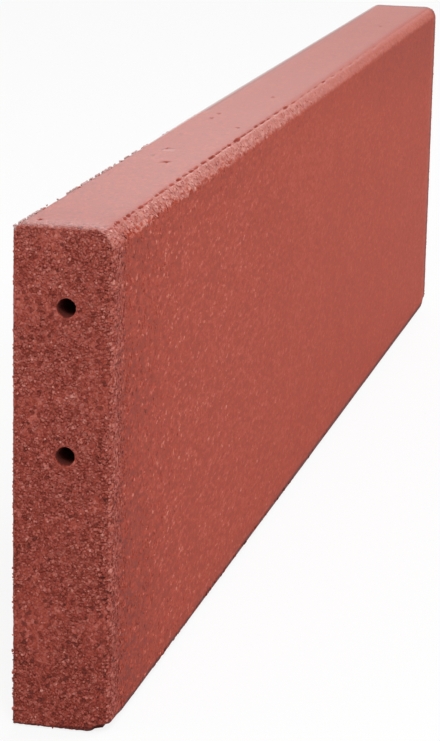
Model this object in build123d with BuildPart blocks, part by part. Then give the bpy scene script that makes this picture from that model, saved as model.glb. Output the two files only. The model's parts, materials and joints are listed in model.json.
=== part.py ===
from build123d import *
import os

# Rubber curb: one bar of bonded rubber crumb, pressed in a mould, that edges a safety surface or a path.
# It stands on its narrow side. The two long edges of its front face are rounded, its other edges are
# square, and each end has two blind holes, one above the other, for the dowels that hold the next curb
# in line.
# The origin is the middle of the foot. +X runs along the curb, +Y goes through it to the back, and
# +Z is up.

# Overall size
curb_length = 1000.0
curb_height = 250.0
curb_thickness = 50.0

# Rounds along the top and the foot of the front face
top_round_radius = 9.0
foot_round_radius = 6.0

# Dowel holes, the same pair in both ends
dowel_hole_diameter = 9.5
dowel_hole_depth = 40.0
dowel_hole_behind_front = 23.5
upper_hole_below_top = 38.5
dowel_hole_pitch = 72.5

# Places that follow from the sizes
front_y = -curb_thickness / 2
dowel_hole_y = front_y + dowel_hole_behind_front
upper_hole_z = curb_height - upper_hole_below_top
lower_hole_z = upper_hole_z - dowel_hole_pitch

with BuildPart() as rubber_curb:
    # The section, drawn as seen from the far end: its own X is the curb's +Y and its own Y is up
    with BuildSketch(Plane.YZ) as section:
        with Locations((0, curb_height / 2)):
            Rectangle(curb_thickness, curb_height)
        foot_corner = section.vertices().group_by(Axis.X)[0].sort_by(Axis.Y)[0]
        fillet(foot_corner, radius=foot_round_radius)
        top_corner = section.vertices().group_by(Axis.X)[0].sort_by(Axis.Y)[-1]
        fillet(top_corner, radius=top_round_radius)
    extrude(amount=curb_length / 2, both=True)

    # The dowel holes run straight in from each end and stop at a flat bottom
    for end_side in (-1, 1):
        end_plane = Plane(
            origin=(end_side * curb_length / 2, 0, 0),
            x_dir=(0, end_side, 0),
            z_dir=(end_side, 0, 0),
        )
        with Locations(end_plane):
            with Locations(
                (end_side * dowel_hole_y, upper_hole_z),
                (end_side * dowel_hole_y, lower_hole_z),
            ):
                Hole(radius=dowel_hole_diameter / 2, depth=dowel_hole_depth)

rubber_curb.part.label = "rubber_curb"

os.makedirs("parts", exist_ok=True)
export_step(rubber_curb.part, "parts/rubber_curb.step")
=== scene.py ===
import json
import math

import bmesh
import bpy
import numpy as np
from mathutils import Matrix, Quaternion, Vector, noise


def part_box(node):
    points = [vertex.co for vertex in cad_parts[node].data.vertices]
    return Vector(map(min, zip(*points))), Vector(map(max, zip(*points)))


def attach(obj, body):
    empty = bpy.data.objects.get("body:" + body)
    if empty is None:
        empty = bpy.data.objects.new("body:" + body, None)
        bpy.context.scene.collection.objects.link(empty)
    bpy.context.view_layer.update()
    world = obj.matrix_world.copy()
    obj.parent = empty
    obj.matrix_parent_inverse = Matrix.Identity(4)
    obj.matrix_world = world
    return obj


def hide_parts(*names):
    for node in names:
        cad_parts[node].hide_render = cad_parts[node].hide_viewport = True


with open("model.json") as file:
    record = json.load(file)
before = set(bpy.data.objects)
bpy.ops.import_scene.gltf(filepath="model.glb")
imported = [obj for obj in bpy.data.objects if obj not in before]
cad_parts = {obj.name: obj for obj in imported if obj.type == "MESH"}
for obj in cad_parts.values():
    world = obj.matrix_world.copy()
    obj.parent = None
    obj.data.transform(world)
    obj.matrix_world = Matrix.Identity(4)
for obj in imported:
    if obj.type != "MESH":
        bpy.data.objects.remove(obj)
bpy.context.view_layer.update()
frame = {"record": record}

bpy.ops.object.select_all(action="DESELECT")
scene = bpy.context.scene
mm = 0.001

curbLow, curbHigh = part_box("rubber_curb")
curbSize = curbHigh - curbLow
dowelHoles = [mount for mount in frame["record"]["mounts"] if "dowel_hole" in mount["name"]]
print("frame loaded, curb", [round(side, 3) for side in curbSize], "with", len(dowelHoles), "dowel holes")


# Camera, near the end of the curb and a little above it

photoView = {
    "place": (-1.6855, -0.3447, 0.4920),
    "turn": 12.75,             # degrees from the curb's length towards its back
    "tilt": -14.07,            # degrees, below level
    "roll": 1.25,              # degrees, the camera leans a little
    "focalPixels": 2692,
    "imageHigh": 741,
    "clip": (0.05, 200),
}


def placeCamera(view):
    turn, tilt = math.radians(view["turn"]), math.radians(view["tilt"])
    ahead = Vector((math.cos(tilt) * math.cos(turn), math.cos(tilt) * math.sin(turn), math.sin(tilt)))
    lean = Quaternion((0, 0, 1), math.radians(view["roll"]))
    bpy.ops.object.camera_add(location=view["place"])
    camera = bpy.context.object
    camera.name = "photoCamera"
    camera.rotation_mode = "QUATERNION"
    camera.rotation_quaternion = ahead.to_track_quat("-Z", "Y") @ lean
    lens = camera.data
    lens.sensor_fit = "VERTICAL"
    lens.lens = lens.sensor_height * view["focalPixels"] / view["imageHigh"]
    lens.clip_start, lens.clip_end = view["clip"]
    scene.camera = camera


placeCamera(photoView)
print("camera placed")


# Light and floor

studioLight = {
    "skyLevel": 0.40,          # what the white room gives to matt surfaces
    "skySeen": 1.0,            # what the camera and reflections see
    "lamps": {                 # place, point aimed at, width, height, watts
        "keySoftbox": ((1.4, -2.1, 2.2), (0.0, 0.0, 0.15), 2.0, 2.0, 49.5),
        "endSoftbox": ((-2.5, -0.7, 2.5), (-0.5, 0.0, 0.12), 1.2, 1.2, 66),
        "backSoftbox": ((14.0, 2.6, 4.0), (0.0, 0.0, 0.25), 6.3, 3.2, 900),
    },
}

paleFloor = {
    "size": 120,
    "colour": (0.88, 0.88, 0.88, 1),
    "glow": 1.0,               # the camera sees the floor as this white for the most part,
    "glowShare": 0.85,         # and in the rest it sees the curb's shadow
}


def lightRoom(light):
    world = bpy.data.worlds.new("whiteRoom")
    scene.world = world
    world.use_nodes = True
    tree = world.node_tree
    background = tree.nodes["Background"]
    background.inputs["Color"].default_value = (1, 1, 1, 1)
    path = tree.nodes.new("ShaderNodeLightPath")
    seen = path.outputs["Is Camera Ray"]
    for rays in ("Is Glossy Ray", "Is Transmission Ray"):
        either = tree.nodes.new("ShaderNodeMath")
        either.operation = "MAXIMUM"
        tree.links.new(seen, either.inputs[0])
        tree.links.new(path.outputs[rays], either.inputs[1])
        seen = either.outputs[0]
    level = tree.nodes.new("ShaderNodeMapRange")
    level.inputs["To Min"].default_value = light["skyLevel"]
    level.inputs["To Max"].default_value = light["skySeen"]
    tree.links.new(seen, level.inputs["Value"])
    tree.links.new(level.outputs["Result"], background.inputs["Strength"])


def hangLamps(lamps):
    for name, (place, aim, wide, high, watts) in lamps.items():
        bpy.ops.object.light_add(type="AREA", location=place)
        lamp = bpy.context.object
        lamp.name = name
        lamp.rotation_mode = "QUATERNION"
        lamp.rotation_quaternion = (Vector(place) - Vector(aim)).to_track_quat("Z", "Y")
        lamp.data.shape = "RECTANGLE"
        lamp.data.size = wide
        lamp.data.size_y = high
        lamp.data.energy = watts
        lamp.visible_camera = False


def layFloor(look):
    bpy.ops.mesh.primitive_plane_add(size=look["size"], location=(0, 0, 0))
    floor = bpy.context.object
    floor.name = "paleFloor"
    paint = bpy.data.materials.new("paleFloorPaint")
    paint.use_nodes = True
    tree = paint.node_tree
    tree.nodes.remove(tree.nodes["Principled BSDF"])
    matt = tree.nodes.new("ShaderNodeBsdfDiffuse")
    matt.inputs["Color"].default_value = look["colour"]
    glow = tree.nodes.new("ShaderNodeEmission")
    glow.inputs["Strength"].default_value = look["glow"]
    path = tree.nodes.new("ShaderNodeLightPath")
    share = tree.nodes.new("ShaderNodeMath")
    share.operation = "MULTIPLY"
    share.inputs[1].default_value = look["glowShare"]
    tree.links.new(path.outputs["Is Camera Ray"], share.inputs[0])
    mix = tree.nodes.new("ShaderNodeMixShader")
    tree.links.new(share.outputs[0], mix.inputs["Fac"])
    tree.links.new(matt.outputs[0], mix.inputs[1])
    tree.links.new(glow.outputs[0], mix.inputs[2])
    tree.links.new(mix.outputs[0], tree.nodes["Material Output"].inputs["Surface"])
    floor.data.materials.append(paint)


lightRoom(studioLight)
hangLamps(studioLight["lamps"])
layFloor(paleFloor)
print("light and floor set")


# Curb body: a block cut into small square cells, finer towards the ends and the edges, then roughened

curbBody = {
    "thicknessCells": 7,       # the other sides get cells of the same size
    "nearFine": 170 * mm,      # cells are halved within this length of the near end
    "farFine": 40 * mm,
    "nearFiner": 100 * mm,     # and halved again within this one
    "backFine": 374 * mm,      # along the back face's upper edge
    "roundCells": (3, 2, 1.3),   # this many cells beside the upper round are halved once, twice and again
    "backCells": (2, 1),       # and this many beside the back face's upper edge once and twice
    "roughReach": 30 * mm,     # the ends' coarse grain reaches this far along the sides
    "rounds": [                # the two axes across an edge, its side on each, and its radius
        (1, 2, -1, 1, 9 * mm),       # front face, upper edge
        (1, 2, -1, -1, 6 * mm),      # front face, lower edge
        (1, 2, 1, 1, 1.2 * mm),      # back face
        (1, 2, 1, -1, 1.2 * mm),
        (0, 1, -1, -1, 7 * mm),      # near end, front and back
        (0, 1, -1, 1, 1.2 * mm),
        (0, 1, 1, -1, 2.5 * mm),     # far end
        (0, 1, 1, 1, 1.2 * mm),
        (0, 2, -1, 1, 0.8 * mm),     # near end, top and foot
        (0, 2, -1, -1, 1.2 * mm),
        (0, 2, 1, 1, 5 * mm),        # far end
        (0, 2, 1, -1, 22 * mm),
    ],
    "facet": (4, 62),          # degrees up the upper round between which it is worn flat
    "facetEnd": 900 * mm,      # the flat has faded out this far from the near end
    "relief": {                # how deep it is pressed in, the size of its grains and their contrast
        "slowWaves": (0.25 * mm, 60 * mm, 1.0),
        "frontGrain": (0.2 * mm, 4 * mm, 1.5),
        "endGrain": (0.55 * mm, 2.6 * mm, 2.0),
        "edgeWear": (0.5 * mm, 4 * mm, 1.6),
        "backWear": (1.05 * mm, 9 * mm, 1.8),
    },
    "endDeep": 6 * mm,         # the full grain of the ends goes this far round their edges
    "frontStrip": 9 * mm,      # deep, what counts as the front face
    "sideStart": 1.1,          # the weight of the ends' grain beside them, before it is cut off at 1
    "sideWeight": 0.3,         # and what it is multiplied by
    "edgeWide": 3 * mm,
    "edgeLong": 12 * mm,       # the ends' edges are worn this far from them
    "frontEdgeKept": 0.2,      # the ends' front edges are smooth, with this much of the wear
    "frontEdgeWide": 8 * mm,
    "frontEdgeStart": 0.25,    # of that width, where the wear begins to grow
    "backEdgeKept": 0.55,      # their back edges are crisp, with this much of it,
    "backEdgeWide": 2 * mm,
    "lowWear": 1.2,            # but more worn lower down: the weight is this one at the foot
    "lowWearHigh": 200 * mm,   # and falls by 1 in this height
    "backWearReach": 340 * mm,   # the wear along the back face's upper edge is gone at this length,
    "backWearSteep": 2,        # and fades this many times as fast as over the whole of it
    "backWearStart": 8 * mm,   # it grows from the near end to here,
    "backWearLeast": 0.3,      # from this weight
    "hollowFrom": 0.6 * mm,    # the rubber is painted darker, as shade with some dirt, from this depth below the moulded face on,
    "hollowDepth": 0.9 * mm,   # by one step for each such depth
    "deepest": 3,              # steps
    "lightEdge": 4 * mm,       # the worn upper edge of the back face gets none of this painted shade
    "skin": 0.02 * mm,         # everything stays this far inside the moulded sides
    "shortestEdge": 0.002 * mm,
}
weightSteps = 20               # levels of weight in a vertex group


def activate(piece):
    bpy.ops.object.select_all(action="DESELECT")
    piece.select_set(True)
    bpy.context.view_layer.objects.active = piece


def corners(mesh):
    places = np.empty(len(mesh.vertices) * 3)
    mesh.vertices.foreach_get("co", places)
    return places.reshape(-1, 3)


def moveCorners(mesh, places):
    mesh.vertices.foreach_set("co", np.ascontiguousarray(places).ravel())
    mesh.update()


def faceCentres(mesh):
    centres = np.empty(len(mesh.polygons) * 3)
    mesh.polygons.foreach_get("center", centres)
    return centres.reshape(-1, 3)


def cutAlong(piece, axis, cells):
    # cuts every edge that runs along the axis into equal cells
    nearlyAll = 0.9
    bpy.ops.object.mode_set(mode="EDIT")
    bpy.ops.mesh.select_mode(type="EDGE")
    bpy.ops.mesh.select_all(action="DESELECT")
    mesh = bmesh.from_edit_mesh(piece.data)
    for edge in mesh.edges:
        run = edge.verts[1].co - edge.verts[0].co
        if abs(run[axis]) > nearlyAll * run.length:
            edge.select_set(True)
    bmesh.update_edit_mesh(piece.data)
    bpy.ops.mesh.subdivide(number_cuts=cells - 1)
    bpy.ops.object.mode_set(mode="OBJECT")


def halveCells(piece, wanted):
    # wanted takes how far each face is from the low and the high side of the block, on every axis
    centres = faceCentres(piece.data)
    chosen = wanted(centres - np.array(curbLow), np.array(curbHigh) - centres)
    bpy.ops.object.mode_set(mode="EDIT")
    bpy.ops.mesh.select_mode(type="FACE")
    bpy.ops.mesh.select_all(action="DESELECT")
    mesh = bmesh.from_edit_mesh(piece.data)
    for face, isChosen in zip(mesh.faces, chosen):
        if isChosen:
            face.select_set(True)
    bmesh.update_edit_mesh(piece.data)
    bpy.ops.mesh.subdivide(number_cuts=1)
    bpy.ops.object.mode_set(mode="OBJECT")


def pastCentre(places, axis, side, radius):
    # how far each point lies past the centre of a round, towards the face on that side
    face = curbHigh[axis] if side > 0 else curbLow[axis]
    return (places[:, axis] - face) * side + radius


def roundEdges(places, pullFor):
    for axisA, axisB, sideA, sideB, radius in curbBody["rounds"]:
        a = pastCentre(places, axisA, sideA, radius)
        b = pastCentre(places, axisB, sideB, radius)
        inCorner = (a > 0) & (b > 0)
        a, b = a[inCorner], b[inCorner]
        pull = pullFor(a, b, radius)
        places[inCorner, axisA] -= sideA * a * (1 - pull)
        places[inCorner, axisB] -= sideB * b * (1 - pull)
    return places


def ontoArcs(a, b, radius):
    # squares about the round's centre become quarter circles
    return np.maximum(a, b) / np.hypot(a, b)


def notPastArc(a, b, radius):
    return np.minimum(1, radius / np.hypot(a, b))


def keepInside(places):
    skin = curbBody["skin"]
    places = roundEdges(places, notPastArc)
    return np.clip(places, np.array(curbLow) + skin, np.array(curbHigh) - skin)


def aboveFacet(places):
    # how far each point stands out of the flat that is worn along the upper round
    axisA, axisB, sideA, sideB, radius = curbBody["rounds"][0]
    start, end = (math.radians(angle) for angle in curbBody["facet"])
    middle, half = (start + end) / 2, (end - start) / 2
    a = pastCentre(places, axisA, sideA, radius)
    b = pastCentre(places, axisB, sideB, radius)
    fading = np.clip((places[:, 0] - curbLow.x) / curbBody["facetEnd"], 0, 1)
    flatAt = radius * (math.cos(half) + (1 - math.cos(half)) * fading)
    return a * math.cos(middle) + b * math.sin(middle) - flatAt, middle


def wearFacet(places):
    above, middle = aboveFacet(places)
    drop = np.maximum(above, 0)
    places[:, 1] += drop * math.cos(middle)
    places[:, 2] -= drop * math.sin(middle)
    return places


def depthInside(places):
    # how far each point lies below the moulded surface
    depth = np.minimum(places - np.array(curbLow), np.array(curbHigh) - places).min(axis=1)
    for axisA, axisB, sideA, sideB, radius in curbBody["rounds"]:
        a = pastCentre(places, axisA, sideA, radius)
        b = pastCentre(places, axisB, sideB, radius)
        inCorner = (a > 0) & (b > 0)
        depth[inCorner] = np.minimum(depth[inCorner], radius - np.hypot(a, b)[inCorner])
    return np.minimum(depth, -aboveFacet(places)[0])


def press(piece, texture, strength, weights, bothWays=False):
    # pushes the surface in by the texture, as far as each point's weight lets it
    group = piece.vertex_groups.new(name="pressed")
    steps = np.round(weights * weightSteps).astype(int)
    for step in range(1, weightSteps + 1):
        chosen = np.nonzero(steps == step)[0]
        if len(chosen):
            group.add(chosen.tolist(), step / weightSteps, "REPLACE")
    dent = piece.modifiers.new("dent", "DISPLACE")
    dent.texture = texture
    dent.texture_coords = "LOCAL"
    dent.vertex_group = group.name
    dent.mid_level = 0.5 if bothWays else 1
    dent.strength = strength
    activate(piece)
    bpy.ops.object.modifier_apply(modifier=dent.name)
    piece.vertex_groups.remove(piece.vertex_groups[0])


def cloudTexture(name, size, contrast):
    texture = bpy.data.textures.new(name, "CLOUDS")
    texture.noise_scale = size
    texture.contrast = contrast
    return texture


def crumbTexture(name, size, contrast):
    texture = bpy.data.textures.new(name, "VORONOI")
    texture.noise_scale = size
    texture.weight_1 = -1
    texture.weight_2 = 1
    texture.contrast = contrast
    return texture


def cutBlock(curb):
    bpy.ops.mesh.primitive_cube_add(size=1, location=(curbLow + curbHigh) / 2, scale=curbSize)
    body = bpy.context.object
    body.name = body.data.name = "rubberCurbBody"
    bpy.ops.object.transform_apply(location=True, rotation=False, scale=True)
    cell = curbSize.y / curb["thicknessCells"]
    for axis in range(3):
        cutAlong(body, axis, round(curbSize[axis] / cell))

    def alongRound(low, high, cells):
        return (low[:, 1] < cells * cell) & (high[:, 2] < cells * cell)

    def alongBack(low, high, cells):
        return (high[:, 1] < cells * cell) & (high[:, 2] < cells * cell) & (low[:, 0] < curb["backFine"])

    def firstHalving(low, high):
        ends = (low[:, 0] < curb["nearFine"]) | (high[:, 0] < curb["farFine"])
        edges = alongBack(low, high, curb["backCells"][0]) | alongRound(low, high, curb["roundCells"][0])
        return ends | edges

    def secondHalving(low, high):
        ends = (low[:, 0] < curb["roughReach"]) | (high[:, 0] < cell)
        front = (low[:, 1] < cell) & (low[:, 0] < curb["nearFiner"])
        edges = alongBack(low, high, curb["backCells"][1]) | alongRound(low, high, curb["roundCells"][1])
        return ends | front | edges

    def thirdHalving(low, high):
        nearRound = alongRound(low, high, curb["roundCells"][2]) & (low[:, 0] < curb["nearFiner"])
        return (low[:, 0] < cell) | nearRound

    for wanted in (firstHalving, secondHalving, thirdHalving):
        halveCells(body, wanted)
    moveCorners(body.data, wearFacet(roundEdges(corners(body.data), ontoArcs)))
    print("block cut into", len(body.data.polygons), "cells")
    return body


def fadingOut(distance, reach):
    return np.clip(1 - distance / reach, 0, 1)


def roughen(body, curb):
    places = corners(body.data)
    low, high = places - np.array(curbLow), np.array(curbHigh) - places
    fromEnd = np.minimum(low[:, 0], high[:, 0])
    fromEdge = np.sort(np.minimum(low, high), axis=1)[:, 1]   # the second nearest side is at the nearest edge

    onFront = (low[:, 1] < curb["frontStrip"]) & (fromEnd > 0)
    atEnd = fadingOut(fromEnd, curb["endDeep"])
    besideEnd = np.clip(curb["sideStart"] - low[:, 0] / curb["roughReach"], 0, 1) * curb["sideWeight"]
    backKept = curb["backEdgeKept"]
    worn = np.clip(backKept + (1 - backKept) * high[:, 1] / curb["backEdgeWide"], 0, 1)
    worn = np.maximum(worn, curb["lowWear"] - low[:, 2] / curb["lowWearHigh"])
    frontKept = curb["frontEdgeKept"]
    behindFront = np.clip(low[:, 1] / curb["frontEdgeWide"] - curb["frontEdgeStart"], 0, 1)
    atEdge = fadingOut(fromEdge, curb["edgeWide"]) * (fromEnd < curb["edgeLong"])
    atEdge *= frontKept + (1 - frontKept) * behindFront

    alongBack = np.clip(curb["backWearSteep"] * (1 - low[:, 0] / curb["backWearReach"]), 0, 1)
    alongBack *= np.clip(low[:, 0] / curb["backWearStart"], curb["backWearLeast"], 1)
    onBackEdge = fadingOut(np.hypot(high[:, 1], high[:, 2]), curb["edgeWide"]) * alongBack

    for name, textureFor, weights in (
        ("slowWaves", cloudTexture, np.ones(len(places))),
        ("frontGrain", crumbTexture, onFront * fadingOut(low[:, 0], curb["nearFine"])),
        ("endGrain", crumbTexture, np.maximum(atEnd, onFront * besideEnd) * np.minimum(worn, 1)),
        ("edgeWear", cloudTexture, np.clip(atEdge * worn, 0, 1)),
        ("backWear", crumbTexture, onBackEdge),
    ):
        depth, size, contrast = curb["relief"][name]
        press(body, textureFor(name, size, contrast), depth, weights)
    print("body roughened")


# Cutters: the dowel holes, the chips at the near foot and the marks of the mould's parting line

cutOuts = {
    "holeSides": 40,
    "holeRings": 60,
    "holeWider": 0.15 * mm,    # the torn mouth is wider than the bore
    "mouthDeep": 2 * mm,
    "mouthFlare": 0.6 * mm,
    "holeTorn": 0.6 * mm,
    "tornGrain": (2.2 * mm, 1.5),    # size and contrast
    "raggedGrain": (2.5 * mm, 1.5),
    "chips": [                 # mm from the near end, from the front face, above the foot, then half sizes
        ((2.0, -5.0, -3.5), (10.0, 14.0, 9.5)),
        ((4.0, -2.0, -1.5), (38.0, 8.0, 7.0)),
        ((-1.0, 2.0, -1.0), (11.0, 9.5, 6.5)),
    ],
    "chipRagged": 0.9 * mm,    # how far a chip's outline strays
    "chipFineness": 3,
    "partingLine": [           # mm from the near end, then behind the front face
        (8, 5.3), (60, 5.2), (120, 5.7), (228, 5.8), (300, 5.6), (400, 5.2), (549, 4.7), (760, 4.5),
    ],
    "markLong": (0.7, 4.4),    # mm, half the length of the first marks
    "markLonger": 0.014,       # added for each mm from the near end
    "markGap": (0.8, 8.0),     # mm, most gaps and marks are near the first of their two
    "markGapLonger": 0.05,     # added for each mm past the place where the line begins to fade
    "markFades": 280,          # mm from the near end
    "markFainter": 0.6,        # the share of a mark's width and depth that is lost by the line's end
    "markWide": (0.4, 1.15),
    "markDeep": (1.0, 2.2),
    "markStray": 0.15 * mm,    # how far the marks stray from the line
    "topPits": 4,
    "topPitHalfSizes": ((2.0, 3.6), (0.5, 0.8), (0.6, 1.0)),   # mm, along, across and down
    "topPitGap": 14 * mm,
    "topPitReach": 600 * mm,
    "topPitBand": (12 * mm, 4 * mm),   # kept clear at the front and at the back
    "smallRagged": 0.25 * mm,  # how far the outline of a mark or pit strays
    "smallFineness": 2,
    "seed": 5,
}


def holeCutter(hole, cut):
    radius, length = hole["dims"]["r_mm"] * mm, hole["dims"]["length_mm"] * mm
    mouthX = curbLow.x if hole["axis"][0] < 0 else curbHigh.x
    bpy.ops.mesh.primitive_cylinder_add(
        vertices=cut["holeSides"], radius=radius + cut["holeWider"], depth=2 * length, location=(0, 0, 0))
    cutter = bpy.context.object
    cutAlong(cutter, 2, cut["holeRings"])
    places = corners(cutter.data)
    nearMouth = np.clip(1 - np.abs(places[:, 2]) / cut["mouthDeep"], 0, 1)
    places[:, :2] *= 1 + (nearMouth * cut["mouthFlare"] / radius)[:, None]
    moveCorners(cutter.data, places)
    cutter.rotation_euler = (0, math.pi / 2, 0)
    cutter.location = (mouthX, hole["pos_m"][1], hole["pos_m"][2])
    bpy.ops.object.transform_apply(location=True, rotation=True, scale=False)
    press(cutter, crumbTexture("tornWall", *cut["tornGrain"]), cut["holeTorn"], np.ones(len(places)), True)
    return cutter


def biteCutter(place, halfSizes, ragged, fineness):
    bpy.ops.mesh.primitive_ico_sphere_add(subdivisions=fineness, radius=1, location=place, scale=halfSizes)
    cutter = bpy.context.object
    bpy.ops.object.transform_apply(location=True, rotation=False, scale=True)
    everywhere = np.ones(len(cutter.data.vertices))
    press(cutter, cloudTexture("ragged", *cutOuts["raggedGrain"]), ragged, everywhere, True)
    return cutter


def mostlyLow(span, share):
    low, high = span
    return low + (high - low) * share ** 2


def markCutters(cut):
    # small separate marks at the near end, longer and closer ones further on, none past the line's end
    chance = np.random.default_rng(cut["seed"])
    alongs, behinds = zip(*cut["partingLine"])
    radius = curbBody["rounds"][0][-1]
    along = alongs[0]
    cutters = []
    while along < alongs[-1]:
        half = chance.uniform(*cut["markLong"]) + cut["markLonger"] * min(along, cut["markFades"])
        pastFade = max(0, along - cut["markFades"])
        fading = 1 - cut["markFainter"] * pastFade / (alongs[-1] - cut["markFades"])
        along += half
        behind = np.interp(along, alongs, behinds) * mm + chance.normal(0, cut["markStray"])
        down = radius - math.sqrt(radius ** 2 - (radius - behind) ** 2)
        place = (curbLow.x + along * mm, curbLow.y + behind, curbHigh.z - down)
        strength = chance.random()
        wide, deep = (mostlyLow(cut[name], strength) for name in ("markWide", "markDeep"))
        halfSizes = Vector((half, wide * fading, deep * fading)) * mm
        cutters.append(biteCutter(place, halfSizes, cut["smallRagged"], cut["smallFineness"]))
        along += half + mostlyLow(cut["markGap"], chance.random()) + cut["markGapLonger"] * pastFade
    return cutters


def pitCutters(cut):
    chance = np.random.default_rng(cut["seed"] + 1)
    clearFront, clearBack = cut["topPitBand"]
    places = []
    cutters = []
    while len(cutters) < cut["topPits"]:
        along = curbLow.x + cut["topPitReach"] * (1 - math.sqrt(1 - chance.random()))
        across = chance.uniform(curbLow.y + clearFront, curbHigh.y - clearBack)
        place = Vector((along, across, curbHigh.z))
        halfSizes = Vector([chance.uniform(*span) for span in cut["topPitHalfSizes"]]) * mm
        if all((place - other).length > cut["topPitGap"] for other in places):
            places.append(place)
            cutters.append(biteCutter(place, halfSizes, cut["smallRagged"], cut["smallFineness"]))
    return cutters


def carve(body, cutters):
    # the cutters given together must not overlap
    bpy.ops.object.select_all(action="DESELECT")
    for cutter in cutters:
        cutter.select_set(True)
    bpy.context.view_layer.objects.active = cutters[0]
    bpy.ops.object.join()
    joined = bpy.context.object
    activate(body)
    bite = body.modifiers.new("bite", "BOOLEAN")
    bite.operation = "DIFFERENCE"
    bite.solver = "EXACT"
    bite.object = joined
    bpy.ops.object.modifier_apply(modifier=bite.name)
    bpy.data.objects.remove(joined)


def cutHolesAndChips(body, cut):
    cutters = [holeCutter(hole, cut) for hole in dowelHoles] + markCutters(cut) + pitCutters(cut)
    print(len(cutters), "holes, marks and pits")
    carve(body, cutters)
    for offset, halfSizes in cut["chips"]:
        place = curbLow + Vector(offset) * mm
        carve(body, [biteCutter(place, Vector(halfSizes) * mm, cut["chipRagged"], cut["chipFineness"])])
    print("body cells", len(body.data.polygons))


def cleanCuts(piece, shortest):
    # the cuts leave slivers and many-sided faces round their rims
    activate(piece)
    bpy.ops.object.mode_set(mode="EDIT")
    bpy.ops.mesh.select_mode(type="FACE")
    bpy.ops.mesh.select_all(action="SELECT")
    bpy.ops.mesh.remove_doubles(threshold=shortest)
    bpy.ops.mesh.dissolve_degenerate(threshold=shortest)
    bpy.ops.mesh.select_all(action="DESELECT")
    bpy.ops.mesh.select_face_by_sides(number=4, type="GREATER")
    bpy.ops.mesh.quads_convert_to_tris(quad_method="BEAUTY", ngon_method="BEAUTY")
    bpy.ops.mesh.select_all(action="SELECT")
    bpy.ops.mesh.dissolve_degenerate(threshold=shortest)
    bpy.ops.object.mode_set(mode="OBJECT")


def noteHollows(piece, curb):
    places = corners(piece.data)
    depth = depthInside(places) - curb["hollowFrom"]
    steps = np.clip(depth / curb["hollowDepth"], 0, curb["deepest"])
    offBackEdge = np.hypot(curbHigh.y - places[:, 1], curbHigh.z - places[:, 2])
    steps[offBackEdge < curb["lightEdge"]] = 0
    # steps of depth below the moulded face, by which the rubber is painted darker as shade
    hollow = piece.data.attributes.new("hollow", "FLOAT", "POINT")
    hollow.data.foreach_set("value", steps.astype(np.float32))


body = cutBlock(curbBody)
roughen(body, curbBody)
cutHolesAndChips(body, cutOuts)
moveCorners(body.data, keepInside(corners(body.data)))
cleanCuts(body, curbBody["shortestEdge"])
noteHollows(body, curbBody)
activate(body)
bpy.ops.object.shade_smooth()
print("body triangles", sum(len(face.vertices) - 2 for face in body.data.polygons))


# Loose crumbs: small angular granules bonded to the ends, the front face and the upper edges

looseCrumbs = {
    "shapes": 16,
    "sides": 5,                # each crumb starts as two pyramids with this many sides
    "cornerUneven": (0.6, 1.15),   # each of its corners is moved in or out by such a share,
    "sizeUneven": (0.75, 1.25),    # and each crumb made longer or shorter on every axis by such a one
    "seed": 11,
    "patch": 22 * mm,          # size of the smoother and the rougher patches
    "patchKeeps": (-0.7, 0.1),     # where the patches' noise is above a chance between these, a crumb stays
    "kinds": {
        # half width, depth of the middle below the surface, thickness and length along the curb against
        # the width, middle tone and its spread
        "end": ((0.4 * mm, 1.1 * mm), (0.15 * mm, 0.6 * mm), 0.6, 1.0, 0.0, 0.45),
        "front": ((0.6 * mm, 1.7 * mm), (0.2 * mm, 0.45 * mm), 0.5, 1.5, 0.8, 0.7),
        "corner": ((0.5 * mm, 1.2 * mm), (0.2 * mm, 0.5 * mm), 0.5, 1.3, 0.5, 0.5),
        "band": ((0.9 * mm, 2.0 * mm), (0.25 * mm, 0.7 * mm), 0.7, 1.5, 0.45, 0.4),
        "back": ((1.0 * mm, 2.0 * mm), (0.3 * mm, 0.9 * mm), 0.9, 1.6, 1.0, 0.2),
    },
    "toneLimits": (-1, 1.5),
    "paleTone": 2,
    "paleShare": 0.02,         # of the crumbs, the palest ones
    "endPitch": 1.3 * mm,
    "endStray": 0.5,           # how far a crumb strays from its cell, as a share of the pitch
    "scattered": {             # how many, and the length from the near end over which they thin out
        "front": (5500, 620 * mm),
        "corner": (2100, 34 * mm),
        "band": (1000, 520 * mm),
        "back": (65, 380 * mm),
    },
    "frontBand": (2 * mm, 7 * mm),   # kept clear at the foot and at the top of the front face
    "bandUp": 54,              # degrees up the upper round
    "backStray": 0.6 * mm,     # from the back face's upper edge
    "clearOfEnd": 0.8,         # of a long crumb's half length
    "clearOfFoot": 1.2 * mm,
    "clearOfHole": 1.0 * mm,
    "clearOfChip": 1.2,        # mm, as the chips' sizes
    "probe": 5 * mm,           # at this depth below an end's crumb the curb has to go on,
    "probeClear": 0.3 * mm,    # this far inside its sides
    "slopeStep": 0.05 * mm,
    "settling": 3,             # rounds in which a crumb finds its depth
}


def crumbShapes(crumb, chance):
    bpy.ops.mesh.primitive_cone_add(
        vertices=crumb["sides"], radius1=1, depth=1, end_fill_type="TRIFAN", location=(0, 0, 0))
    start = bpy.context.object
    startCorners = corners(start.data)
    startCorners[:, 2] += 0.5  # its foot is now at 0, and the middle of the foot becomes the second tip
    underMiddle = np.hypot(startCorners[:, 0], startCorners[:, 1]) + startCorners[:, 2] < 0.5
    startCorners[underMiddle, 2] = -1
    faces = np.array([face.vertices[:] for face in start.data.polygons])
    bpy.data.objects.remove(start)
    uneven = (len(startCorners), 1)
    shapes = [startCorners * chance.uniform(*crumb["cornerUneven"], uneven) for _ in range(crumb["shapes"])]
    return np.array(shapes), faces


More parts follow.
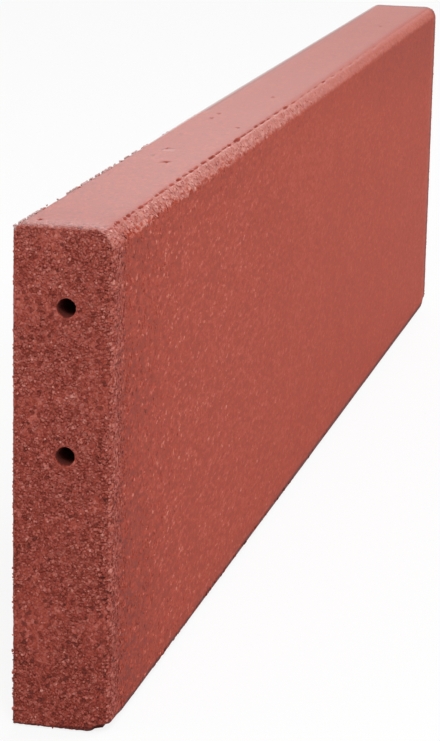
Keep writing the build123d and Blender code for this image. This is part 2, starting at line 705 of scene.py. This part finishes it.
def randomTurns(count, chance):
    q = chance.normal(size=(count, 4))
    w, x, y, z = (q / np.linalg.norm(q, axis=1)[:, None]).T
    return np.stack([
        1 - 2 * (y * y + z * z), 2 * (x * y - w * z), 2 * (x * z + w * y),
        2 * (x * y + w * z), 1 - 2 * (x * x + z * z), 2 * (y * z - w * x),
        2 * (x * z - w * y), 2 * (y * z + w * x), 1 - 2 * (x * x + y * y),
    ], axis=1).reshape(-1, 3, 3)


def inwardAt(places):
    step = looseCrumbs["slopeStep"]
    tiny = 1e-9
    rises = [depthInside(places + step * axis) - depthInside(places - step * axis) for axis in np.eye(3)]
    slope = np.stack(rises, axis=1)
    return slope / np.maximum(np.linalg.norm(slope, axis=1), tiny)[:, None]


def clearOfChips(spots):
    clear = np.ones(len(spots), dtype=bool)
    for middle, halfSizes in cutOuts["chips"]:
        off = (spots - np.array(curbLow)) / mm - np.array(middle)
        clear &= np.linalg.norm(off / (np.array(halfSizes) + looseCrumbs["clearOfChip"]), axis=1) > 1
    return clear


def growCrumbs(name, groups, crumb, chance):
    # each spot is moved to its own depth below the moulded surface, and its crumb lies flat there
    shapes, faces = crumbShapes(crumb, chance)
    allPoints, tones = [], []
    for kind, spots in groups:
        spots = spots[clearOfChips(spots)]
        halfWides, sinks, flat, long, middleTone, toneSpread = crumb["kinds"][kind]
        count = len(spots)
        halfWide = chance.uniform(*halfWides, count)
        sink = chance.uniform(*sinks, count)
        if long > 1:
            spots[:, 0] = np.maximum(spots[:, 0], curbLow.x + crumb["clearOfEnd"] * long * halfWide)
        for _ in range(crumb["settling"]):
            spots = spots + inwardAt(spots) * (sink - depthInside(spots))[:, None]
        normals = inwardAt(spots)
        points = shapes[chance.integers(0, len(shapes), count)]
        points = points * chance.uniform(*crumb["sizeUneven"], (count, 1, 3))
        points = np.einsum("nij,nkj->nki", randomTurns(count, chance), points)
        lift = np.einsum("nki,ni->nk", points, normals) * (1 - flat)
        points = points - lift[:, :, None] * normals[:, None, :]
        points[:, :, 0] *= long
        allPoints.append(points * halfWide[:, None, None] + spots[:, None, :])
        tone = np.clip(middleTone + chance.normal(0, toneSpread, count), *crumb["toneLimits"])
        tone[chance.random(count) < crumb["paleShare"]] = crumb["paleTone"]
        tones.append(tone)
    points = np.concatenate(allPoints)
    count, cornerCount = points.shape[:2]
    firstCorners = np.arange(count)[:, None, None] * cornerCount
    allFaces = (faces[None] + firstCorners).reshape(-1, faces.shape[1])
    mesh = bpy.data.meshes.new(name)
    mesh.from_pydata(keepInside(points.reshape(-1, 3)).tolist(), [], allFaces.tolist())
    ownTone = mesh.attributes.new("crumbTone", "FLOAT", "POINT")
    ownTone.data.foreach_set("value", np.repeat(np.concatenate(tones), cornerCount).astype(np.float32))
    piece = bpy.data.objects.new(name, mesh)
    scene.collection.objects.link(piece)
    noteHollows(piece, curbBody)
    print(name, count, "crumbs,", len(allFaces), "triangles")
    return piece


def endSpots(side, crumb, chance):
    # side is -1 at the near end and 1 at the far end
    pitch = crumb["endPitch"]
    ys = np.arange(curbLow.y + pitch / 2, curbHigh.y, pitch)
    zs = np.arange(curbLow.z + pitch / 2, curbHigh.z, pitch)
    onEnd = np.stack(np.meshgrid(ys, zs), axis=-1).reshape(-1, 2)
    onEnd += chance.uniform(-1, 1, onEnd.shape) * crumb["endStray"] * pitch
    spots = np.insert(onEnd, 0, curbLow.x if side < 0 else curbHigh.x, axis=1)
    roughness = np.array([noise.noise(Vector(spot) / crumb["patch"]) for spot in spots])
    keep = roughness > chance.uniform(*crumb["patchKeeps"], len(spots))
    for hole in dowelHoles:
        off = np.hypot(spots[:, 1] - hole["pos_m"][1], spots[:, 2] - hole["pos_m"][2])
        keep &= off > hole["dims"]["r_mm"] * mm + crumb["clearOfHole"]
    inward = np.array([-side * crumb["probe"], 0, 0])
    keep &= depthInside(spots + inward) > crumb["probeClear"]
    keep &= spots[:, 2] > curbLow.z + crumb["clearOfFoot"]
    return spots[keep]


def thinningOut(count, reach, chance):
    return curbLow.x + reach * (1 - np.sqrt(1 - chance.random(count)))


def frontSpots(count, reach, chance):
    clearFoot, clearTop = looseCrumbs["frontBand"]
    return np.stack([
        thinningOut(count, reach, chance),
        np.full(count, curbLow.y),
        chance.uniform(curbLow.z + clearFoot, curbHigh.z - clearTop, count),
    ], axis=1)


def bandSpots(count, reach, chance):
    angle = chance.uniform(0, math.radians(looseCrumbs["bandUp"]), count)
    radius = curbBody["rounds"][0][-1]
    return np.stack([
        thinningOut(count, reach, chance),
        curbLow.y + radius * (1 - np.cos(angle)),
        curbHigh.z - radius * (1 - np.sin(angle)),
    ], axis=1)


def backSpots(count, reach, chance):
    stray = looseCrumbs["backStray"]
    return np.stack([
        thinningOut(count, reach, chance),
        curbHigh.y - np.abs(chance.normal(0, stray, count)),
        curbHigh.z - np.abs(chance.normal(0, stray, count)),
    ], axis=1)


chance = np.random.default_rng(looseCrumbs["seed"])
nearCrumbs = growCrumbs("nearEndCrumbs", [("end", endSpots(-1, looseCrumbs, chance))], looseCrumbs, chance)
farCrumbs = growCrumbs("farEndCrumbs", [("end", endSpots(1, looseCrumbs, chance))], looseCrumbs, chance)
scatter = {"front": frontSpots, "corner": frontSpots, "band": bandSpots, "back": backSpots}
sideGroups = []
for kind, (count, reach) in looseCrumbs["scattered"].items():
    sideGroups.append((kind, scatter[kind](count, reach, chance)))
sideCrumbs = growCrumbs("sideCrumbs", sideGroups, looseCrumbs, chance)


# Crumb rubber: each crumb has its own tone, gaps are painted dark as shade, pits are painted dark as shade
# with some dirt, a few crumbs are pale

rubberFinish = {
    "tones": [                 # place on the ramp and colour, from the pits to the palest crumbs
        (0.00, (0.105, 0.011, 0.005)),
        (0.30, (0.255, 0.025, 0.009)),
        (0.50, (0.330, 0.035, 0.011)),
        (0.70, (0.400, 0.062, 0.032)),
        (1.00, (0.540, 0.180, 0.135)),
    ],
    "middleTone": 0.515,
    "darkestOnFace": -0.15,    # against the middle tone

    "crumbScale": 560,         # crumbs a metre
    "fineScale": 1050,
    "shredScale": 480,
    "shredLong": 0.45,         # shreds on the moulded faces lie along the curb
    "warpNoise": (300, 2),     # scale and detail
    "warp": 1.2 * mm,
    "mottleNoise": (28, 3),
    "gritNoise": (1400, 2),

    "looseContrast": 0.24,     # between one loose crumb and the next
    "crumbContrast": 0.28,
    "fineContrast": 0.21,
    "shredContrast": 0.28,
    "mottleContrast": 0.12,
    "gapPaintedShade": 0.22,
    "gapWide": 0.22,           # of a crumb
    "hollowPaintedShade": 0.26,
    "faceShare": 0.85,         # contrast on the near front face against the ends
    "farShare": 0.4,           # and on the rest of it
    "topShare": 0.45,          # contrast on the top against the front face
    "bandShare": 0.38,         # and on the worn upper round against the ends
    "bandShreds": 1.5,         # the shreds' contrast grows by this share of itself on that round
    "bandLeft": 0.45,          # what is left of the worn round at the far end
    "bandRagged": (5 * mm, 1 * mm),    # how far its lower side strays, at the near end and further on

    # painted shade: the top face is painted darker
    "topPaintedShade": 0.13,
    # painted sheen: the worn upper round is painted paler
    "bandPaintedSheen": 0.18,
    "cornerPaintedShade": 0.11,        # painted shade on the front face beside the near end
    "underRoundShade": (0.05, 0.17),         # painted shade on it just below the worn round, near and far,
    "underDown": (30 * mm, 85 * mm),   # down to here
    "farEdgePaintedShade": 0.25,       # painted shade along the edges of the far end
    "towardFootDark": 0.11,          # the near end of the front face is darker towards the foot,
    "towardFootLeft": 0.3,           # this much of it further up
    "footDark": 0.45,          # in the shade under the lower round,
    "endShade": (3.6 * mm, 2.2 * mm),  # which is so high on the near end, at the front and at the back,
    "sideShade": (7.0 * mm, 8.8 * mm),   # and on the front face, near and far
    "shadeTurn": 0.6,          # from this much of the ends' grain on, the one goes over into the other
    "shadeSoft": 0.7,          # its full dark is below this share of the height

    # pale dust, which also stands for painted sheen and painted light below
    "dust": (0.50, 0.35, 0.33),
    "endDustAndSheen": 0.15,           # share of the pale dust and painted sheen in the ends' colour
    "bandDustAndSheen": 0.20,          # on the worn upper round, dust and painted sheen
    "backDustAndLight": 0.85,          # and on the back face's upper edge, dust and painted light on its shaded sides
    "dustClings": (0.15, 0.6, 0.1, 1.1),   # to paler tones more: two tones, and the shares there
    "dustUneven": (0.8, 0.6),  # what chance adds, and the least of it

    "specular": 0.35,
    "roughness": 0.8,
    "wornRoughness": 0.66,     # the top and its rounded edge are worn smoother at the near end
    "farRoughness": 0.76,      # and left rough at the far one
    "bumpHeight": 0.35 * mm,
    "bumpStrength": 0.5,
    "bumpGap": 0.35,           # of a crumb
    "gritShare": 0.5,
    "frontBump": 0.45,         # against the ends' bump

    # pairs of distances from a side of the curb, between which a mask goes over from one value to the other
    "wholeLength": (0, 1000 * mm),     # from the near end
    "faceAlong": (0, 600 * mm),
    "bandAlong": (300 * mm, 800 * mm),
    "raggedAlong": (0, 500 * mm),
    "towardFootAlong": (4 * mm, 230 * mm),
    "cornerAlong": (10 * mm, 120 * mm),
    "underAlong": (500 * mm, 950 * mm),
    "shadeAlong": (50 * mm, 600 * mm),
    "endTopAlong": (1.5 * mm, 5 * mm),
    "farEdgeAlong": (8 * mm, 20 * mm),   # from the far end
    "farFaceAlong": (0.4 * mm, 1.2 * mm),
    "endGrain": (2 * mm, 30 * mm),     # from either end
    "endFace": (1 * mm, 8 * mm),
    "topFace": (1 * mm, 4 * mm),       # below the top
    "topDark": (0.4 * mm, 1.2 * mm),
    "bandDown": (5.4 * mm, 9 * mm),
    "cornerDown": (8 * mm, 14 * mm),
    "underTop": 10 * mm,               # and from here it goes over down to "underDown"
    "backEdgeDown": (2.2 * mm, 3.2 * mm),
    "endTopDown": (0.8 * mm, 1.6 * mm),
    "towardFootUp": (0, 190 * mm),           # above the foot
    "bandBehind": (4.5 * mm, 5.85 * mm),   # behind the front face
    "shadeBehind": (10 * mm, 32 * mm),
    "bumpBehind": (1 * mm, 5 * mm),
    "backEdgeIn": (1.6 * mm, 2.6 * mm),    # in from the back face
}


def makeRubber(finish):
    paint = bpy.data.materials.new("crumbRubber")
    paint.use_nodes = True
    tree = paint.node_tree
    skin = tree.nodes["Principled BSDF"]
    skin.inputs["Specular IOR Level"].default_value = finish["specular"]

    def node(kind, **settings):
        made = tree.nodes.new("ShaderNode" + kind)
        for setting, value in settings.items():
            setattr(made, setting, value)
        return made

    def feed(socket, value):
        if hasattr(value, "is_output"):
            tree.links.new(value, socket)
        else:
            socket.default_value = value

    def maths(kind, *values):
        made = node("Math", operation=kind)
        for socket, value in zip(made.inputs, values):
            feed(socket, value)
        return made.outputs[0]

    def times(first, *others):
        for other in others:
            first = maths("MULTIPLY", first, other)
        return first

    def without(mask):
        return maths("SUBTRACT", 1, mask)

    def ranged(value, fromLow, fromHigh, toLow, toHigh):
        made = node("MapRange", interpolation_type="SMOOTHSTEP")
        sockets = ("Value", "From Min", "From Max", "To Min", "To Max")
        for socket, number in zip(sockets, (value, fromLow, fromHigh, toLow, toHigh)):
            feed(made.inputs[socket], number)
        return made.outputs["Result"]

    def near(distance, name, atSide=1, away=0):
        return ranged(distance, *finish[name], atSide, away)

    def contrast(value, amount):
        return times(maths("SUBTRACT", value, 0.5), amount)

    def noiseAt(place, scale, detail):
        made = node("TexNoise")
        feed(made.inputs["Vector"], place)
        made.inputs["Scale"].default_value = scale
        made.inputs["Detail"].default_value = detail
        return made

    def cells(place, scale, feature="F1"):
        made = node("TexVoronoi", feature=feature)
        feed(made.inputs["Vector"], place)
        made.inputs["Scale"].default_value = scale
        return made

    def chanceOf(made, name):
        split = node("SeparateColor")
        feed(split.inputs[0], made.outputs["Color"])
        return split.outputs[name]

    # the pattern's coordinates, squeezed along the curb and then bent a little
    place = node("TexCoord").outputs["Object"]
    shrunk = node("VectorMath", operation="MULTIPLY")
    feed(shrunk.inputs[0], place)
    shrunk.inputs[1].default_value = (finish["shredLong"], 1, 1)
    centred = node("VectorMath", operation="SUBTRACT")
    feed(centred.inputs[0], noiseAt(shrunk.outputs[0], *finish["warpNoise"]).outputs["Color"])
    centred.inputs[1].default_value = (0.5, 0.5, 0.5)
    bent = node("VectorMath", operation="MULTIPLY_ADD")
    feed(bent.inputs[0], centred.outputs[0])
    bent.inputs[1].default_value = (finish["warp"],) * 3
    feed(bent.inputs[2], shrunk.outputs[0])

    crumbs = cells(bent.outputs[0], finish["crumbScale"])
    gaps = cells(bent.outputs[0], finish["crumbScale"], "DISTANCE_TO_EDGE").outputs["Distance"]
    fine = cells(bent.outputs[0], finish["fineScale"])
    shreds = cells(bent.outputs[0], finish["shredScale"])
    mottle = noiseAt(place, *finish["mottleNoise"]).outputs["Fac"]
    grit = noiseAt(bent.outputs[0], *finish["gritNoise"]).outputs["Fac"]

    # how far each place is from the sides of the curb
    split = node("SeparateXYZ")
    feed(split.inputs[0], place)
    alongX, acrossY, upZ = (split.outputs[axis] for axis in "XYZ")
    fromNear = maths("SUBTRACT", alongX, curbLow.x)
    fromFar = maths("SUBTRACT", curbHigh.x, alongX)
    fromEnd = maths("MINIMUM", fromNear, fromFar)
    fromFront = maths("SUBTRACT", acrossY, curbLow.y)
    fromBack = maths("SUBTRACT", curbHigh.y, acrossY)
    fromTop = maths("SUBTRACT", curbHigh.z, upZ)
    fromFoot = maths("SUBTRACT", upZ, curbLow.z)

    # how rough each place is: 1 on the ends, less on the moulded faces
    atEnd = near(fromEnd, "endGrain")
    onFace = near(fromNear, "faceAlong", finish["faceShare"], finish["farShare"])
    onFace = times(onFace, near(fromTop, "topFace", finish["topShare"], 1))
    ragged = near(fromNear, "raggedAlong", *finish["bandRagged"])
    raggedTop = maths("SUBTRACT", fromTop, contrast(chanceOf(shreds, "Green"), ragged))
    highUp = near(raggedTop, "bandDown")
    onBand = times(highUp, near(fromFront, "bandBehind"), near(fromNear, "bandAlong", 1, finish["bandLeft"]))
    share = maths("MAXIMUM", onFace, times(onBand, finish["bandShare"]))
    share = maths("MAXIMUM", share, atEnd)

    # pale and dark crumbs are rare, so the random tone is raised to the third power about its middle
    spread = maths("MULTIPLY_ADD", chanceOf(crumbs, "Red"), 2, -1)
    tone = times(spread, spread, spread, finish["crumbContrast"])
    tone = maths("ADD", tone, contrast(chanceOf(fine, "Green"), finish["fineContrast"]))
    # painted shade in the gaps between crumbs
    gapShade = times(ranged(gaps, 0, finish["gapWide"], finish["gapPaintedShade"], 0), chanceOf(fine, "Blue"), share)
    tone = times(maths("SUBTRACT", tone, gapShade), share)
    shredAmount = times(without(atEnd), finish["shredContrast"])
    shredAmount = times(shredAmount, maths("MULTIPLY_ADD", onBand, finish["bandShreds"], 1))
    tone = maths("ADD", tone, times(contrast(chanceOf(shreds, "Red"), shredAmount), onFace))
    tone = maths("ADD", tone, contrast(mottle, finish["mottleContrast"]))
    tone = maths("MAXIMUM", tone, ranged(atEnd, 0, 1, finish["darkestOnFace"], -1))

    # hollows are painted darker, as shade with some dirt, apart from those at the near end's upper edge
    endTop = times(near(fromTop, "endTopDown"), near(fromNear, "endTopAlong"))
    hollow = node("Attribute", attribute_name="hollow").outputs["Fac"]
    tone = maths("SUBTRACT", tone, times(hollow, without(endTop), finish["hollowPaintedShade"]))
    looseTone = node("Attribute", attribute_name="crumbTone").outputs["Fac"]
    tone = maths("ADD", tone, times(looseTone, share, finish["looseContrast"]))
    # the middle tone, with painted sheen making the worn round paler
    tone = maths("ADD", tone, maths("MULTIPLY_ADD", onBand, finish["bandPaintedSheen"], finish["middleTone"]))

    # painted shade on the top, beside the near end, under the worn round, along the far end's edges and under
    # the lower round, and the front face darker towards its near foot
    endShade = near(fromFront, "shadeBehind", *finish["endShade"])
    sideShade = near(fromNear, "shadeAlong", *finish["sideShade"])
    shadeHigh = ranged(atEnd, finish["shadeTurn"], 1, sideShade, endShade)
    underDown = near(fromNear, "underAlong", *finish["underDown"])
    underRoundShade = near(fromNear, "underAlong", *finish["underRoundShade"])
    underRoundShadeMask = times(ranged(fromTop, finish["underTop"], underDown, 1, 0), without(highUp), without(atEnd))
    towardFoot = near(fromNear, "towardFootAlong", finish["towardFootDark"])
    corner = times(near(fromNear, "cornerAlong", finish["cornerPaintedShade"]), near(fromTop, "cornerDown", 0, 1))
    farEdge = near(fromFar, "farEdgeAlong", finish["farEdgePaintedShade"])
    for darker in (
        near(fromTop, "topDark", finish["topPaintedShade"]),
        times(towardFoot, near(fromFoot, "towardFootUp", 1, finish["towardFootLeft"])),
        times(underRoundShadeMask, underRoundShade),
        times(farEdge, near(fromFar, "farFaceAlong", 0, 1)),
        times(corner, without(near(fromEnd, "endFace"))),
        ranged(fromFoot, times(shadeHigh, finish["shadeSoft"]), shadeHigh, finish["footDark"], 0),
    ):
        tone = maths("SUBTRACT", tone, darker)

    ramp = node("ValToRGB")
    stops = ramp.color_ramp.elements
    while len(stops) < len(finish["tones"]):
        stops.new(0.5)
    for stop, (position, colour) in zip(stops, finish["tones"]):
        stop.position = position
        stop.color = (*colour, 1)
    feed(ramp.inputs["Fac"], tone)

    # pale dust, with painted sheen on the ends and the worn round and painted light on the back face's upper
    # edge
    dustAndSheen = maths("MAXIMUM", times(atEnd, finish["endDustAndSheen"]), times(onBand, finish["bandDustAndSheen"]))
    clinging = ranged(tone, *finish["dustClings"])
    clinging = times(clinging, maths("MULTIPLY_ADD", chanceOf(fine, "Red"), *finish["dustUneven"]))
    backEdge = times(near(fromTop, "backEdgeDown"), near(fromBack, "backEdgeIn"))
    dustSheenAndLight = maths("MAXIMUM", times(dustAndSheen, clinging), times(backEdge, finish["backDustAndLight"]))
    dusted = node("Mix", data_type="RGBA")
    feed(dusted.inputs["Factor"], dustSheenAndLight)
    feed(dusted.inputs[6], ramp.outputs["Color"])
    dusted.inputs[7].default_value = (*finish["dust"], 1)
    feed(skin.inputs["Base Color"], dusted.outputs[2])

    worn = near(fromNear, "wholeLength", finish["wornRoughness"], finish["farRoughness"])
    feed(skin.inputs["Roughness"], ranged(highUp, 0, 1, finish["roughness"], worn))

    bump = node("Bump")
    bump.inputs["Strength"].default_value = finish["bumpStrength"]
    bump.inputs["Distance"].default_value = finish["bumpHeight"]
    height = maths("MULTIPLY_ADD", grit, finish["gritShare"], ranged(gaps, 0, finish["bumpGap"], 0, 1))
    bumpShare = times(share, share, near(fromFront, "bumpBehind", finish["frontBump"], 1))
    feed(bump.inputs["Height"], times(height, bumpShare))
    feed(skin.inputs["Normal"], bump.outputs["Normal"])
    return paint


rubber = makeRubber(rubberFinish)
for piece in (body, nearCrumbs, farCrumbs, sideCrumbs):
    piece.data.materials.clear()
    piece.data.materials.append(rubber)
    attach(piece, "root")
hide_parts("rubber_curb")
print("crumb rubber on every piece")

scene.view_settings.view_transform = "Standard"
